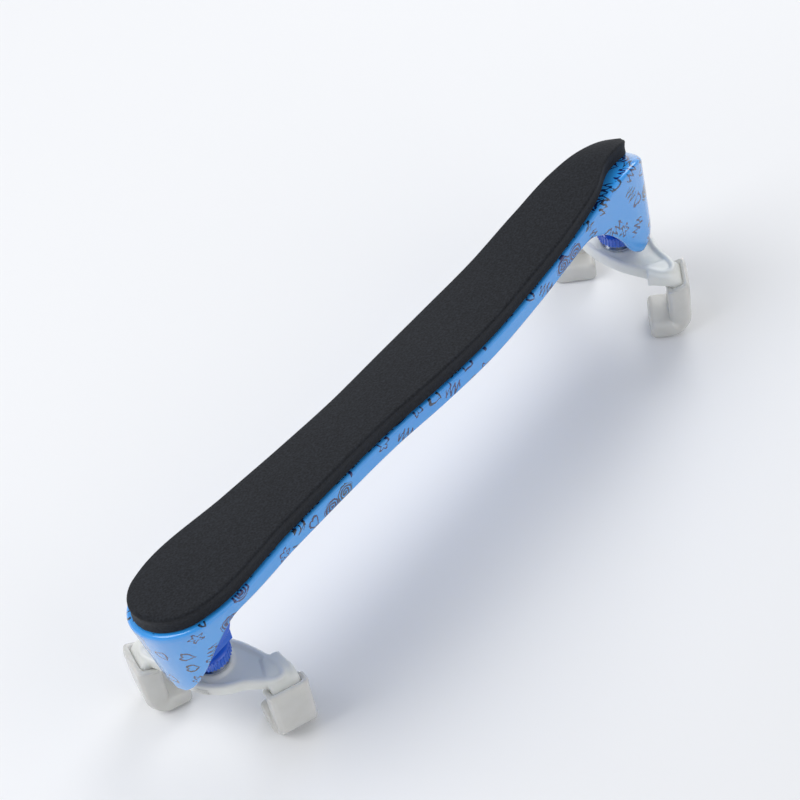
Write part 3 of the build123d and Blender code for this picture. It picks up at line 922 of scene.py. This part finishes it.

# %% [markdown]
# ## The lock nut
#
# A thumb nut of blue plastic with a knurled rim, in the deeper blue that paints the shade under
# the hood. Its core is turned; Geometry Nodes set a rounded rib on each point of a circle for the grip.

# %% Lock nut with its grip
NUT_BASE, NUT_TALL, NUT_CORE, NUT_BORE = 26.0, 4.6, 5.75, 3.0
nut_section = (
    (NUT_BORE, NUT_BASE + 0.4), (NUT_BORE + 0.4, NUT_BASE), (NUT_CORE - 0.9, NUT_BASE),
    (NUT_CORE, NUT_BASE + 0.7),
    (NUT_CORE, NUT_BASE + NUT_TALL - 0.7), (NUT_CORE - 0.9, NUT_BASE + NUT_TALL),
    (NUT_BORE + 0.4, NUT_BASE + NUT_TALL), (NUT_BORE, NUT_BASE + NUT_TALL - 0.4),
)
GRIP = {"Ribs": 36, "Circle": NUT_CORE * MM, "Rib radius": 0.26 * MM, "Height": 3.0 * MM}
grip_tree, grip_in, grip_out = new_tree("grip ribs", GRIP)
grip_ring = add(
    grip_tree, "GeometryNodeMeshCircle", {"Vertices": grip_in["Ribs"], "Radius": grip_in["Circle"]}
).outputs[0]
grip_rib = add(
    grip_tree, "GeometryNodeMeshCylinder",
    {"Vertices": 10, "Radius": grip_in["Rib radius"], "Depth": grip_in["Height"]},
).outputs[0]
grip_all = add(
    grip_tree, "GeometryNodeInstanceOnPoints", {"Points": grip_ring, "Instance": grip_rib}
).outputs[0]
finish_tree(grip_tree, grip_out, grip_all, shade_darkened_abs)

for end in STUD:
    core = add_piece(f"{end}_nut", turned_mesh(f"{end}_nut", nut_section), shade_darkened_abs)
    core.data.transform(at_hub(end))
    core = soften(core, 0.18)
    grip = grow(f"{end}_nut_grip", grip_tree, GRIP, at_hub(end, NUT_BASE + NUT_TALL / 2))
    for piece in (core, grip):
        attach(piece, f"{end}_nut")
    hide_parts(f"{end}_lock_nut")
print("nut ribs:", GRIP["Ribs"])

# %% [markdown]
# ## The fork
#
# The fork is one moulding of natural nylon: a round hub, two tapering arms with a thin
# raised rim all round, and a hooked claw on each tip, turned 45 degrees outwards. Every
# inner corner of such a moulding is filleted. Drawing each fillet would be slow, so the
# plate and the claws are drawn as simple solids, fused by a fine voxel remesh and eased by
# a few smoothing passes, which rounds every joint like the real mould does.

# %% Fork plate and claws
FORK_BASE, FORK_TOP = 19.4, 24.0
CLAW_AT, CLAW_TURN = 19.0, math.radians(45)
CLAW_TIP, CLAW_HALF = -5.9, 4.2
PLATE_SIDE = (
    (8.7, 0), (8.4, 3.4), (7.2, 7.2), (5.4, 10.4), (4.4, 13.6), (3.8, 16.6), (2.4, 19.6), (0.2, 20.9),
    (-2.4, 19.6), (-4.4, 15.6), (-5.9, 11.2), (-7.3, 6.0), (-7.8, 0),
)
PLATE_STEPS = 130


def plate_rings():
    """Rings of the plate's section round its bore: hub boss, channel, raised rim, underside."""
    half = flow(PLATE_SIDE, PLATE_STEPS)
    ring = half + [Vector((p.x, -p.y)) for p in half[-2:0:-1]]
    outs = outward(ring)
    rings = []
    for radius, z in ((3.3, 21.2), (3.3, FORK_TOP), (5.6, FORK_TOP), (6.2, 23.1)):
        rings.append([(*(spot.normalized() * radius), z) for spot in ring])
    for inset, z in (
        (1.75, 23.1), (1.5, 23.95), (1.3, FORK_TOP), (0.55, FORK_TOP), (0.1, 23.6), (0.0, 22.4), (0.15, 20.4),
        (0.7, 19.5), (1.2, FORK_BASE),
    ):
        rings.append([(*(spot + out * inset), z) for spot, out in zip(ring, outs)])
    for radius, z in ((5.4, FORK_BASE), (5.4, 21.2)):
        rings.append([(*(spot.normalized() * radius), z) for spot in ring])
    return rings


def sweep_rings(path, across, shape, steps=5):
    """Rounded rectangles along a path of (outward, height) points in a claw's own plane."""
    side, side_at = across
    rings = []
    for k, (a, z) in enumerate(path):
        ahead, behind = path[min(k + 1, len(path) - 1)], path[max(k - 1, 0)]
        run = Vector((ahead[0] - behind[0], ahead[1] - behind[1])).normalized()
        wide, thick, corner = shape(k / (len(path) - 1))
        ring = []
        for quarter, (sx, sy) in enumerate(((1, 1), (-1, 1), (-1, -1), (1, -1))):
            for step in range(steps):
                turn = math.pi / 2 * (quarter + step / (steps - 1))
                s = sx * (wide - corner) + corner * math.cos(turn)
                t = sy * (thick - corner) + corner * math.sin(turn)
                ring.append(side_at(a - run.y * t, z + run.x * t) + side * s)
        rings.append(ring)
    return rings


def bridge(rings, close_ends=True, loop=False):
    """Points and faces of a run of equal rings."""
    count = len(rings[0])
    points = [tuple(p) for ring in rings for p in ring]
    faces = []
    last = len(rings) if loop else len(rings) - 1
    for r in range(last):
        here, there = r * count, (r + 1) % len(rings) * count
        for k in range(count):
            after = (k + 1) % count
            faces.append((here + k, here + after, there + after, there + k))
    if close_ends and not loop:
        faces += [tuple(range(count))[::-1], tuple(range(len(points) - count, len(points)))]
    return points, faces


def hook_path(tip, start=-6.5, top=21.75, wall=2.2, bottom=3.54, bend=3.4):
    """A hook seen from the side: out along the top, down a wall and back under to a lip."""
    quarter = [math.pi / 2 * s / 8 for s in range(9)]
    path = [(start + (wall - bend - start) * s / 6, top) for s in range(6)]
    path += [(wall - bend + bend * math.sin(a), top - bend + bend * math.cos(a)) for a in quarter]
    path += [(wall, top - bend + (bottom + bend - top + bend) * s / 6) for s in range(1, 6)]
    path += [(wall - bend + bend * math.cos(a), bottom + bend - bend * math.sin(a)) for a in quarter]
    return path + [(wall - bend + (tip - wall + bend) * s / 5, bottom) for s in range(1, 6)]


def claw_plane(side):
    """A claw's sideways unit vector, and its map from (outward, height) to the fork's drawing."""
    facing = Vector((math.cos(CLAW_TURN), side * math.sin(CLAW_TURN), 0))
    sideways = Vector((-facing.y, facing.x, 0))
    foot = Vector((0, side * CLAW_AT, 0))
    return sideways, lambda a, z: foot + facing * a + Vector((0, 0, z))


def claw_shape(share):
    """Half width, half thickness and corner of a claw along its path."""
    grown = min(1.0, share / 0.22)
    wide = 2.9 + 1.3 * grown * grown * (3 - 2 * grown)
    tip = max(0.0, (share - 0.94) / 0.06)
    return wide - 0.9 * tip, 2.1 - 0.3 * grown - 0.7 * tip, 1.0 - 0.2 * tip


def fork_mesh():
    """One fork on its own drawing, fused and eased."""
    solids = [bridge(plate_rings(), loop=True)]
    for side in (-1, 1):
        path = hook_path(CLAW_TIP)
        solids.append(bridge(sweep_rings(path, claw_plane(side), claw_shape)))
    points, faces = [], []
    for new_points, new_faces in solids:
        faces += [tuple(i + len(points) for i in face) for face in new_faces]
        points += new_points
    rough = add_piece("fork_rough", make_mesh("fork_rough", points, faces, placed=False))
    fuse = rough.modifiers.new("fuse", "REMESH")
    fuse.mode, fuse.voxel_size = "VOXEL", 0.34 * MM
    ease = rough.modifiers.new("ease", "SMOOTH")
    ease.factor, ease.iterations = 0.5, 7
    done = settled(rough)
    mesh = done.data
    bpy.data.objects.remove(done)
    mesh.shade_smooth()
    return mesh


# %% [markdown]
# ### Nylon and silicone
#
# Natural nylon is a milky white that light enters for a few millimetres, so thin edges look
# a little darker and greyer than the thick hub. The sleeves are clear silicone with some
# haze: softer and glossier than the nylon, and slightly warm.

# %% Nylon and silicone materials
def milky(name, scatter, tones, haze_scale, grain, bump, **surface):
    """A cloudy polymer: light goes in a little way, and its tone and surface vary faintly."""
    material, tree, shader = new_material(name, **surface)
    shader.inputs["Subsurface Radius"].default_value = [depth * MM for depth in scatter]
    shader.inputs["Subsurface Scale"].default_value = 1.0
    place = add(tree, "ShaderNodeTexCoord").outputs["Object"]
    haze = add(tree, "ShaderNodeTexNoise", {"Vector": place, "Scale": haze_scale, "Detail": 3.0}).outputs[0]
    tone = add(
        tree, "ShaderNodeMix", {0: haze, 6: linear(tones[0]), 7: linear(tones[1])}, data_type="RGBA"
    ).outputs[2]
    relief = haze
    if grain:
        relief = add(tree, "ShaderNodeTexNoise", {"Vector": place, "Scale": grain, "Detail": 2.0}).outputs[0]
    height, strength = bump
    pressed = add(
        tree, "ShaderNodeBump", {"Height": relief, "Distance": height * MM, "Strength": strength}
    ).outputs[0]
    tree.links.new(tone, shader.inputs["Base Color"])
    tree.links.new(pressed, shader.inputs["Normal"])
    return material


nylon = milky(
    "PA nylon, natural, injection moulded", (2.6, 2.7, 2.6), ("#E6E8E3", "#F3F4F0"), 140.0, 900.0,
    (0.03, 0.4), roughness=0.30, ior=1.53, subsurface_weight=0.55, transmission_weight=0.12,
    coat_weight=0.15, coat_roughness=0.15,
)
silicone = milky(
    "silicone rubber, translucent, moulded", (3.2, 3.0, 2.8), ("#ECEBE5", "#FAF9F5"), 260.0, None,
    (0.08, 0.35), roughness=0.26, ior=1.41, subsurface_weight=0.35, transmission_weight=0.38,
    coat_weight=0.25, coat_roughness=0.12,
)

fork_shape = fork_mesh()
for end in STUD:
    fork = add_piece(f"{end}_nylon_fork", fork_shape.copy(), nylon)
    fork.data.transform(at_hub(end, 0, FACING[end]))
    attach(fork, f"{end}_foot")
    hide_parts(f"{end}_fork")
print("fork faces:", len(fork_shape.polygons))

# %% [markdown]
# ## Grip serrations on the hub
#
# The front of each hub carries a row of fine teeth, so a thumb can turn the fork. They
# follow the hub's edge: Geometry Nodes sample an arc and stand one small rounded bar on
# each point.

# %% Hub serrations
TEETH = {
    "Count": 23, "Arc radius": 8.55 * MM, "Sweep": math.radians(74), "Tooth": 0.26 * MM, "Height": 2.2 * MM
}
teeth_tree, teeth_in, teeth_out = new_tree("hub teeth", TEETH)
teeth_start = add(
    teeth_tree, "ShaderNodeMath", {0: teeth_in["Sweep"], 1: -0.5}, operation="MULTIPLY"
).outputs[0]
teeth_arc = add(
    teeth_tree, "GeometryNodeCurveArc",
    {"Resolution": teeth_in["Count"], "Radius": teeth_in["Arc radius"], "Start Angle": teeth_start,
     "Sweep Angle": teeth_in["Sweep"]},
    mode="RADIUS",
).outputs[0]
tooth_bar = add(
    teeth_tree, "GeometryNodeMeshCylinder",
    {"Vertices": 8, "Radius": teeth_in["Tooth"], "Depth": teeth_in["Height"]},
).outputs[0]
teeth_all = add(
    teeth_tree, "GeometryNodeInstanceOnPoints", {"Points": teeth_arc, "Instance": tooth_bar}
).outputs[0]
finish_tree(teeth_tree, teeth_out, teeth_all, nylon)
for end in STUD:
    teeth = grow(f"{end}_hub_teeth", teeth_tree, TEETH, at_hub(end, 21.6, FACING[end]))
    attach(teeth, f"{end}_foot")
print("teeth:", TEETH["Count"])

# %% [markdown]
# ## Silicone sleeves
#
# Each sleeve is a sock pulled over a claw: about 1.5 mm thick, a bead round its mouth, and
# a wider lip where it grips under the violin's edge. An outer and an inner skin are swept
# along the claw's path and joined at the mouth.

# %% Sleeves
SLEEVE_WALL, SLEEVE_GAP = 1.45, 0.06
SLEEVE_FROM, SLEEVE_TIP = 0.32, -6.1


def outer_sleeve(share):
    """Half width, half thickness and corner of the sleeve's outside along its path."""
    bead = 0.35 * math.exp(-((share - 0.02) / 0.035) ** 2)
    grip = min(1.0, max(0.0, (share - 0.52) / 0.10))
    flare = 0.75 * grip * grip * (3 - 2 * grip)
    tip = max(0.0, (share - 0.95) / 0.05)
    wide = CLAW_HALF + SLEEVE_GAP + SLEEVE_WALL + bead + flare - 1.1 * tip * tip
    thick = 1.8 + SLEEVE_GAP + SLEEVE_WALL + 0.6 * bead - 1.0 * tip * tip
    return wide, thick, 1.7 - 0.2 * tip


def inner_sleeve(share):
    """Half width, half thickness and corner of the sleeve's inside along its path."""
    return CLAW_HALF + SLEEVE_GAP, 1.8 + SLEEVE_GAP, 0.9


def sleeve_mesh(name, side):
    """One sleeve on the fork's own drawing."""
    path = hook_path(SLEEVE_TIP)
    path = path[round(SLEEVE_FROM * len(path)) :]
    tip = path[-1]
    outer = sweep_rings(path + [(tip[0] - 0.9, tip[1])], claw_plane(side), outer_sleeve, 6)
    inner = sweep_rings(path, claw_plane(side), inner_sleeve, 6)
    points, faces = bridge(inner[::-1] + outer)
    return make_mesh(name, points, faces, placed=False)


for end in STUD:
    for side, label in ((-1, "a"), (1, "b")):
        sleeve = add_piece(f"{end}_grip_sleeve_{label}", sleeve_mesh("sleeve", side), silicone)
        smooth = sleeve.modifiers.new("round", "SUBSURF")
        smooth.levels = smooth.render_levels = 1
        sleeve = settled(sleeve)
        sleeve.data.transform(at_hub(end, 0, FACING[end]))
        sleeve.data.shade_smooth()
        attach(sleeve, f"{end}_foot")
        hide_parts(f"{end}_sleeve_{label}")
print("sleeve faces:", len(sleeve.data.polygons))

# %% [markdown]
# ## Finishes for the parts that keep their engineering shape
#
# Pins, washers and clips are steel, the inserts are brass and the folding blocks are the
# same blue plastic without the print, in a deeper blue that paints the shade under the bar.

# %% Dress the carried-over parts
FINISHES = (
    ("hinge_pin_tail", steel), ("hinge_pin_neck", steel), ("thrust_washer", steel),
    ("retaining_clip", steel), ("threaded_insert", brass), ("swivel_block", shade_darkened_abs),
)
for end in STUD:
    for part, material in FINISHES:
        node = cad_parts[f"{end}_{part}"]
        node.data.materials.clear()
        node.data.materials.append(material)
print("dressed parts:", 2 * len(FINISHES))
